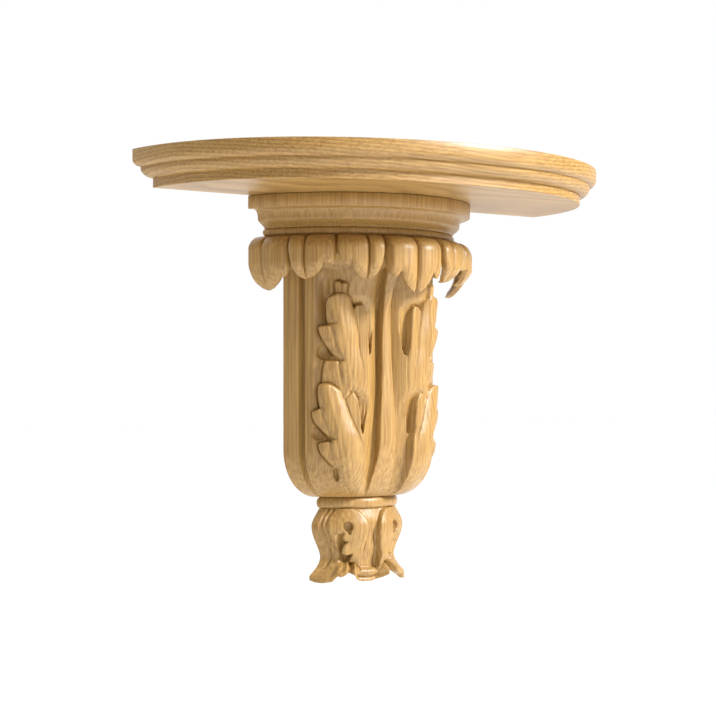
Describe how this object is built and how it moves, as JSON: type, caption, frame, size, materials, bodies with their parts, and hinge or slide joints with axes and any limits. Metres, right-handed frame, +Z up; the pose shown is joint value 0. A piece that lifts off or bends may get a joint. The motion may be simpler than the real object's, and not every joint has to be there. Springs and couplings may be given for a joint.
{
  "type": "carved wall shelf",
  "caption": "Small wall shelf in oak: a half-round moulded board on a carved bracket with drooping leaves, acanthus leaves and a leafy drop, flat at the back.",
  "frame": {"origin": "on the flat back, on the centre line, 20 mm below the underside of the board", "axes": "+Y goes into the wall, +Z is up, +X is to the right as seen from the front"},
  "size_m": [0.44, 0.181, 0.3545],
  "materials": {
    "board_oak": "satin clear lacquer",
    "bracket_oak": "satin clear lacquer"
  },
  "bodies": {
    "root": {"shelf_board": "board_oak", "carved_bracket": "bracket_oak"}
  },
  "joints": []
}
